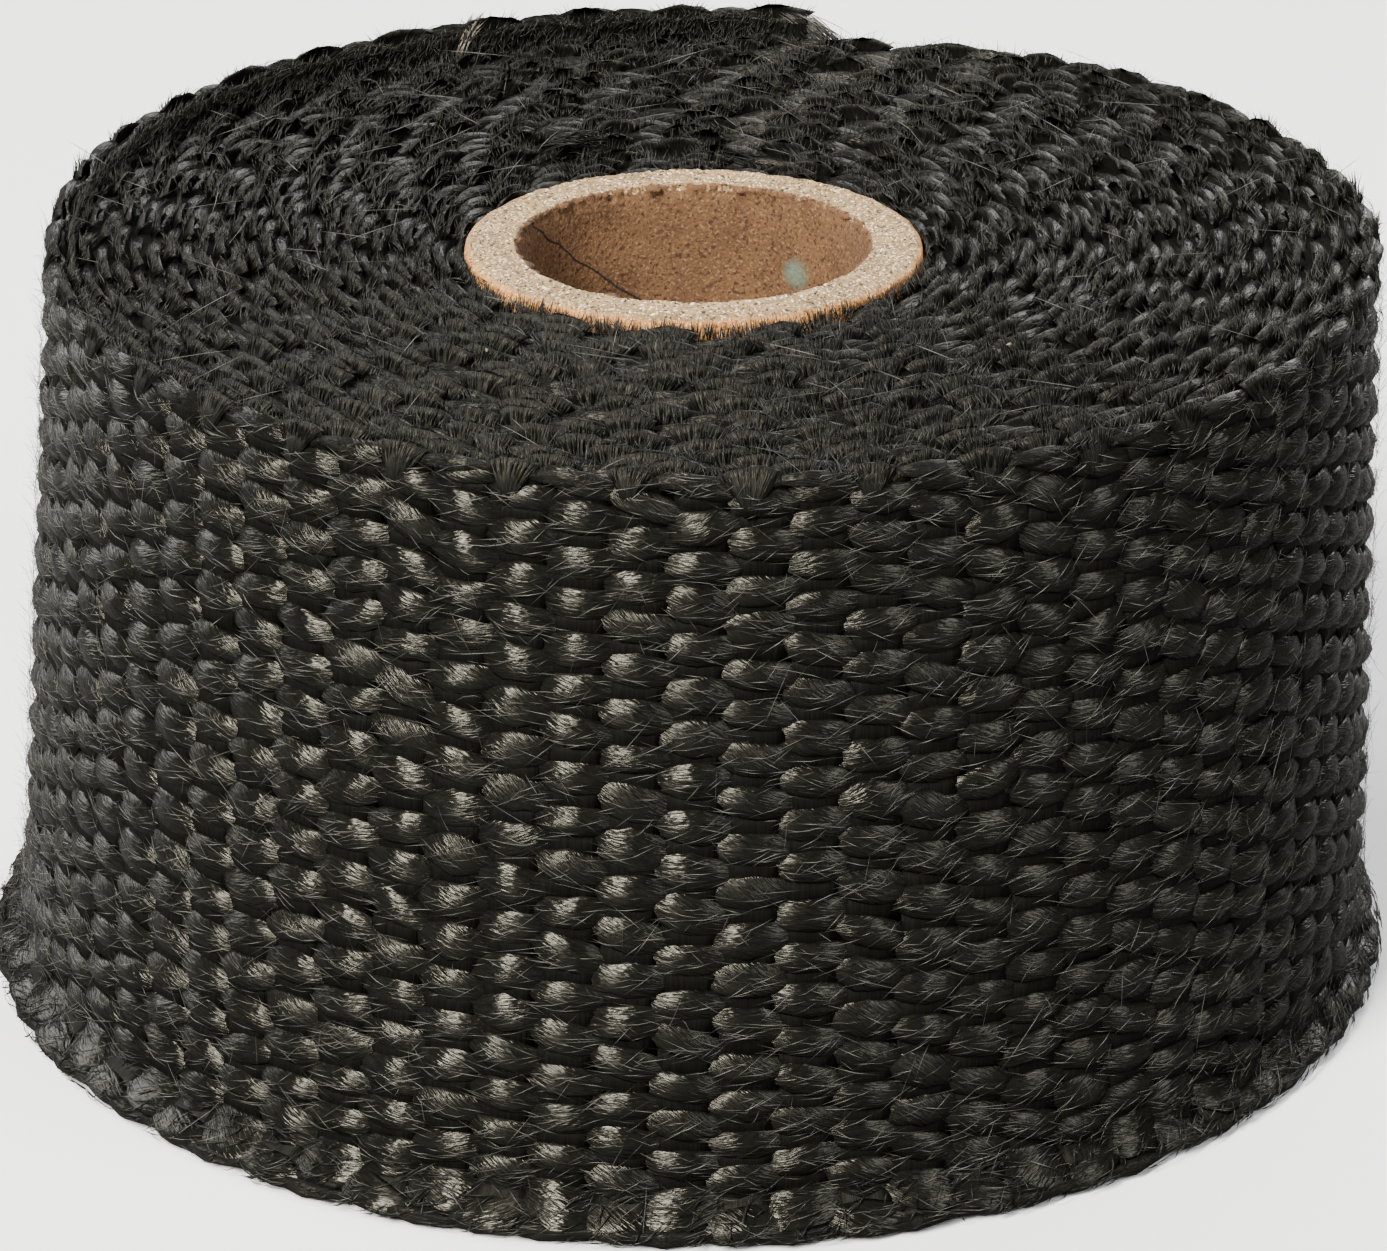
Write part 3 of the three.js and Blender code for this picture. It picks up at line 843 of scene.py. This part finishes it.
# %% Black fibres that stand against the tube
rng = np.random.default_rng(91)
clumps = 64
hairs = 22
count = clumps * hairs
clump_at = np.linspace(0, 2 * np.pi, clumps, endpoint=False) + rng.normal(0, 0.02, clumps)
clump_tall = rng.uniform(0.35, 1.0, clumps) * (0.8 + 0.35 * np.cos(clump_at + np.pi / 2))
around = np.repeat(clump_at, hairs) + rng.normal(0, 0.034, count)
tall = np.repeat(clump_tall, hairs) * rng.uniform(0.35, 1.35, count)
lean = (around - np.repeat(clump_at, hairs))[:, None] * 0.6 + rng.normal(0, 0.012, (count, 1))
steps = FROM_ROOT
radius = TUBE_RADIUS + 0.6 - 0.5 * steps ** 0.7 + rng.uniform(0, 0.4, (count, 1)) * (1 - steps * 0.5)
angle_of = around[:, None] + lean * steps
z = 47.6 + 0.3 * rng.random((count, 1)) + (0.65 + tall[:, None]) * steps
paths = np.stack([radius * np.cos(angle_of), radius * np.sin(angle_of), z + 0 * radius], -1)
tube_fringe = make_fibres("tube_fringe", paths, rng.uniform(0.07, 0.14, count), rng)

# %% [markdown]
# ## Finishes
# Glass yarn is nearly black, with a silky tan shine that runs across the filaments. A streak
# texture, stretched along the yarn, changes colour, roughness and height together. It is used by
# every yarn material, so it is a node group.

# %% Node helpers
def new_group(name, inputs, outputs):
    """A shader node group with named sockets, and its input and output nodes."""
    group = bpy.data.node_groups.new(name, "ShaderNodeTree")
    for label, kind, value in inputs:
        socket = group.interface.new_socket(label, in_out="INPUT", socket_type=kind)
        socket.default_value = value
    for label, kind in outputs:
        group.interface.new_socket(label, in_out="OUTPUT", socket_type=kind)
    return group, group.nodes.new("NodeGroupInput"), group.nodes.new("NodeGroupOutput")


def math_node(operation, first, second):
    """A Math node in the tree that nodes and links now name; the others are sockets or numbers."""
    node = nodes.new("ShaderNodeMath")
    node.operation = operation
    for place, value in enumerate((first, second)):
        if isinstance(value, (int, float)):
            node.inputs[place].default_value = value
        else:
            links.new(value, node.inputs[place])
    return node.outputs[0]


# %% Filament streaks
streaks, given, result = new_group(
    "filament_streaks",
    [("Along", "NodeSocketFloat", 0.45), ("Across", "NodeSocketFloat", 5.5),
     ("Fine Across", "NodeSocketFloat", 15.0)],
    [("Streak", "NodeSocketFloat"), ("Height", "NodeSocketFloat")],
)
nodes, links = streaks.nodes, streaks.links
uv = nodes.new("ShaderNodeUVMap")
uv.uv_map = "yarn"
split = nodes.new("ShaderNodeSeparateXYZ")
links.new(uv.outputs[0], split.inputs[0])
values = []
for across, detail, stretch in (("Across", 2.0, 1.0), ("Fine Across", 1.0, 2.2)):
    join = nodes.new("ShaderNodeCombineXYZ")
    along = math_node("MULTIPLY", given.outputs["Along"], stretch)
    links.new(math_node("MULTIPLY", split.outputs[0], along), join.inputs[0])
    links.new(math_node("MULTIPLY", split.outputs[1], given.outputs[across]), join.inputs[1])
    noise = nodes.new("ShaderNodeTexNoise")
    noise.inputs["Scale"].default_value = 1.0
    noise.inputs["Detail"].default_value = detail
    noise.inputs["Roughness"].default_value = 0.6
    links.new(join.outputs[0], noise.inputs["Vector"])
    values.append(noise.outputs["Fac"])
both = math_node("MULTIPLY", values[1], 0.4)
height = math_node("ADD", values[0], both)
links.new(height, result.inputs["Height"])
spread = nodes.new("ShaderNodeMapRange")
spread.inputs["From Min"].default_value, spread.inputs["From Max"].default_value = 0.5, 0.95
links.new(height, spread.inputs["Value"])
links.new(spread.outputs["Result"], result.inputs["Streak"])
print("group filament_streaks has", len(nodes), "nodes")


# %% Yarn material
def yarn_material(name, dark, light, rough, streak, shine, anisotropy, turn, relief):
    """Black glass yarn. dark and light are linear colours, turn the direction of the shine."""
    material = bpy.data.materials.new(name)
    material.use_nodes = True
    nodes, links = material.node_tree.nodes, material.node_tree.links
    surface = nodes["Principled BSDF"]
    group = nodes.new("ShaderNodeGroup")
    group.node_tree = streaks
    for label, value in zip(("Along", "Across", "Fine Across"), streak):
        group.inputs[label].default_value = value
    mix = nodes.new("ShaderNodeMix")
    mix.data_type = "RGBA"
    mix.inputs["A"].default_value, mix.inputs["B"].default_value = (*dark, 1), (*light, 1)
    links.new(group.outputs["Streak"], mix.inputs["Factor"])
    links.new(mix.outputs["Result"], surface.inputs["Base Color"])
    roughness = nodes.new("ShaderNodeMapRange")
    roughness.inputs["To Min"].default_value, roughness.inputs["To Max"].default_value = rough
    links.new(group.outputs["Streak"], roughness.inputs["Value"])
    links.new(roughness.outputs["Result"], surface.inputs["Roughness"])
    bump = nodes.new("ShaderNodeBump")
    bump.inputs["Strength"].default_value = 1.0
    bump.inputs["Distance"].default_value = relief / 1000
    links.new(group.outputs["Height"], bump.inputs["Height"])
    links.new(bump.outputs["Normal"], surface.inputs["Normal"])
    surface.inputs["Specular IOR Level"].default_value = shine
    surface.inputs["Specular Tint"].default_value = (1.0, 0.94, 0.77, 1)
    surface.inputs["Anisotropic"].default_value = anisotropy
    surface.inputs["Anisotropic Rotation"].default_value = turn
    return material


# %% [markdown]
# The big yarns shine across their filaments. A loose fibre is thinner than such a streak, so it
# shines alike in all directions and has hardly any relief. The hairs differ in how pale they are:
# the wall hairs and the long strays get a paler colour, which is painted light for the light that
# these thin fibres catch. Those in the felt are almost black.

# %% Yarn and fibre finishes
BLACK = (0.002, 0.002, 0.0018)
DARK_HAIR = (0.008, 0.008, 0.007)
DARK_STRAY = (0.01, 0.01, 0.009)
PALE_BASE = (0.04, 0.036, 0.028)
FIBRE_STREAK = (0.25, 1.3, 3.0)
YARNS = (
    ("warp_glass", BLACK, (0.007, 0.0065, 0.005), (0.32, 0.22), (0.62, 4.6, 13), 0.24, 0.92, 0.25, 0.15),
    ("weft_glass", BLACK, (0.005, 0.0048, 0.004), (0.6, 0.5), (0.3, 5.0, 13), 0.08, 0.5, 0.0, 0.08),
    ("inner_glass", BLACK, (0.005, 0.0048, 0.004), (0.9, 0.8), (0.3, 5.0, 13), 0.03, 0.0, 0.0, 0.15),
    ("edge_glass", BLACK, (0.009, 0.0086, 0.0075), (0.42, 0.32), (0.8, 4.2, 12), 0.15, 0.8, 0.25, 0.2),
    ("fan_glass", BLACK, (0.01, 0.0095, 0.008), (0.5, 0.4), (0.4, 4.0, 11), 0.16, 0.5, 0.25, 0.18),
)
FIBRES = (
    ("fuzz_glass", BLACK, (0.022, 0.021, 0.019), (0.5, 0.35), 0.22),
    ("fringe_glass", BLACK, (0.01, 0.0095, 0.008), (0.5, 0.4), 0.2),
    ("pile_glass", BLACK, (0.05, 0.048, 0.044), (0.5, 0.35), 0.2),
    # hair_glass and stray_glass: their paler colours are painted light for the light that thin loose fibres
    # catch
    ("hair_glass", DARK_HAIR, (0.13, 0.125, 0.11), (0.45, 0.35), 0.3),
    ("stray_glass", DARK_STRAY, (0.13, 0.125, 0.115), (0.45, 0.35), 0.3),
    ("pale_glass", PALE_BASE, (0.24, 0.21, 0.165), (0.5, 0.4), 0.3),
)
finishes = {values[0]: yarn_material(*values) for values in YARNS}
for name, dark, light, rough, shine in FIBRES:
    finishes[name] = yarn_material(name, dark, light, rough, FIBRE_STREAK, shine, 0.0, 0.0, 0.02)
for name, pieces in (
    ("warp_glass", (warp_low, warp_middle, warp_high)),
    ("weft_glass", (weft,)),
    ("inner_glass", (wrap_body,)),
    ("edge_glass", (top_edge, bottom_edge)),
    ("fan_glass", (top_fans,)),
    ("fuzz_glass", (top_fuzz, bottom_fuzz, lip_fuzz, inner_fuzz, tail_brush)),
    ("fringe_glass", (top_brushes, tube_fringe, start_tuft)),
    ("pile_glass", (top_pile,)),
    ("hair_glass", (wall_fuzz,)),
    ("stray_glass", (wall_strays, top_strays, tail_wisps)),
    ("pale_glass", (pale_strand, lint)),
):
    for piece in pieces:
        piece.data.materials.append(finishes[name])
print(len(finishes), "yarn finishes")

# %% [markdown]
# ## Cardboard
# The cut end is pale and grainy, full of light and dark flecks; the outside is a smooth orange
# kraft; the bore is a mottled brown with a screw-shaped seam and one small teal mark. The flecks
# are a group, placed three times with different sizes and colours.

# %% Paper flecks
flecks, given, result = new_group(
    "paper_flecks",
    [("Size", "NodeSocketFloat", 900.0), ("Base", "NodeSocketColor", (0.4, 0.3, 0.2, 1)),
     ("Light", "NodeSocketColor", (0.8, 0.7, 0.6, 1)), ("Dark", "NodeSocketColor", (0.05, 0.03, 0.02, 1)),
     ("Blotch", "NodeSocketFloat", 0.5)],
    [("Color", "NodeSocketColor"), ("Height", "NodeSocketFloat")],
)
nodes, links = flecks.nodes, flecks.links
place = nodes.new("ShaderNodeTexCoord")


def fleck_noise(scale, detail, offset):
    """Noise over the object, its size a share of the group's Size."""
    shift = nodes.new("ShaderNodeVectorMath")
    shift.operation = "ADD"
    shift.inputs[1].default_value = (offset, offset * 0.7, offset * 0.3)
    links.new(place.outputs["Object"], shift.inputs[0])
    noise = nodes.new("ShaderNodeTexNoise")
    noise.inputs["Detail"].default_value = detail
    links.new(math_node("MULTIPLY", given.outputs["Size"], scale), noise.inputs["Scale"])
    links.new(shift.outputs[0], noise.inputs["Vector"])
    return noise.outputs["Fac"]


def window(value, low, high):
    """0 below low, 1 above high."""
    node = nodes.new("ShaderNodeMapRange")
    node.inputs["From Min"].default_value, node.inputs["From Max"].default_value = low, high
    links.new(value, node.inputs["Value"])
    return node.outputs["Result"]


def blend_colours(factor, first, second, mode="MIX"):
    """A Mix node for colours; the last two are sockets or colours."""
    node = nodes.new("ShaderNodeMix")
    node.data_type, node.blend_type = "RGBA", mode
    links.new(factor, node.inputs["Factor"])
    for socket, value in (("A", first), ("B", second)):
        if isinstance(value, tuple):
            node.inputs[socket].default_value = value
        else:
            links.new(value, node.inputs[socket])
    return node.outputs["Result"]


grain = fleck_noise(1.0, 3.0, 0.0)
light_mask = window(fleck_noise(1.6, 2.0, 0.31), 0.56, 0.66)
dark_mask = window(fleck_noise(1.3, 3.0, 0.77), 0.55, 0.64)
blotches = fleck_noise(0.13, 3.0, 1.7)
shade = math_node("MULTIPLY", window(blotches, 0.35, 0.7), given.outputs["Blotch"])
tone = blend_colours(shade, given.outputs["Base"], given.outputs["Dark"])
tone = blend_colours(light_mask, tone, given.outputs["Light"])
tone = blend_colours(dark_mask, tone, given.outputs["Dark"])
links.new(tone, result.inputs["Color"])
links.new(grain, result.inputs["Height"])
print("group paper_flecks has", len(nodes), "nodes")

# %% Cardboard material
card = bpy.data.materials.new("core_card")
card.use_nodes = True
nodes, links = card.node_tree.nodes, card.node_tree.links
surface = nodes["Principled BSDF"]
place = nodes.new("ShaderNodeTexCoord")
split = nodes.new("ShaderNodeSeparateXYZ")
links.new(place.outputs["Object"], split.inputs[0])


def card_flecks(size, base, light, dark, blotch):
    """One use of the flecks with its own values."""
    node = nodes.new("ShaderNodeGroup")
    node.node_tree = flecks
    for label, value in zip(("Size", "Base", "Light", "Dark", "Blotch"), (size, base, light, dark, blotch)):
        node.inputs[label].default_value = value
    return node


cut_end = card_flecks(3000, (0.29, 0.185, 0.085, 1), (0.78, 0.64, 0.42, 1), (0.022, 0.013, 0.007, 1), 0.4)
outside = card_flecks(2600, (0.4, 0.19, 0.06, 1), (0.6, 0.38, 0.17, 1), (0.14, 0.055, 0.018, 1), 0.4)
bore = card_flecks(3000, (0.115, 0.056, 0.023, 1), (0.17, 0.094, 0.043, 1), (0.04, 0.017, 0.007, 1), 0.5)
radius = nodes.new("ShaderNodeVectorMath")
radius.operation = "LENGTH"
level_place = nodes.new("ShaderNodeCombineXYZ")
links.new(split.outputs[0], level_place.inputs[0])
links.new(split.outputs[1], level_place.inputs[1])
links.new(level_place.outputs[0], radius.inputs[0])
in_bore = window(radius.outputs["Value"], 0.01198, 0.0119)
at_rim = window(radius.outputs["Value"], 0.01485, 0.0151)
below = window(split.outputs[2], 0.0491, 0.0487)
bearing = math_node("ARCTAN2", split.outputs[1], split.outputs[0])
SEAM_RISE = 0.00911
SEAM_BEARING = 2.754
seam_height = math_node("MULTIPLY", bearing, SEAM_RISE)
seam_height = math_node("ADD", seam_height, 0.0488 - SEAM_RISE * SEAM_BEARING)
waver = nodes.new("ShaderNodeTexNoise")
waver.inputs["Scale"].default_value = 400
links.new(place.outputs["Object"], waver.inputs["Vector"])
wavering = math_node("SUBTRACT", waver.outputs["Fac"], 0.5)
wavering = math_node("MULTIPLY", wavering, 0.0008)
gap = math_node("SUBTRACT", split.outputs[2], seam_height)
gap = math_node("ADD", gap, wavering)
seam_mask = window(math_node("ABSOLUTE", gap, 0.0), 0.00013, 0.00006)
smudge_gap = nodes.new("ShaderNodeVectorMath")
smudge_gap.operation = "DISTANCE"
smudge_gap.inputs[1].default_value = (0.00717, 0.00951, 0.0435)
links.new(place.outputs["Object"], smudge_gap.inputs[0])
smudged = window(smudge_gap.outputs["Value"], 0.0013, 0.0005)
smudged = math_node("MULTIPLY", smudged, waver.outputs["Fac"])
inside = blend_colours(smudged, bore.outputs["Color"], (0.085, 0.17, 0.13, 1))
inside = blend_colours(seam_mask, inside, (0.012, 0.008, 0.006, 1))
ply_place = nodes.new("ShaderNodeCombineXYZ")
links.new(math_node("MULTIPLY", radius.outputs["Value"], 5200), ply_place.inputs[0])
links.new(math_node("MULTIPLY", bearing, 4.0), ply_place.inputs[1])
ply_noise = nodes.new("ShaderNodeTexNoise")
ply_noise.inputs["Scale"].default_value = 1.0
ply_noise.inputs["Detail"].default_value = 3.0
links.new(ply_place.outputs[0], ply_noise.inputs["Vector"])
plies_dark = math_node("MULTIPLY", window(ply_noise.outputs["Fac"], 0.52, 0.66), 0.6)
cut_tone = blend_colours(plies_dark, cut_end.outputs["Color"], (0.12, 0.075, 0.038, 1))
tone = blend_colours(at_rim, cut_tone, outside.outputs["Color"])
tone = blend_colours(in_bore, tone, inside)
links.new(tone, surface.inputs["Base Color"])
card_bump = nodes.new("ShaderNodeBump")
card_bump.inputs["Distance"].default_value = 0.00012
links.new(cut_end.outputs["Height"], card_bump.inputs["Height"])
links.new(card_bump.outputs["Normal"], surface.inputs["Normal"])
surface.inputs["Roughness"].default_value = 0.85
surface.inputs["Specular IOR Level"].default_value = 0.3
core.data.materials.append(card)
print("core_card has", len(nodes), "nodes")
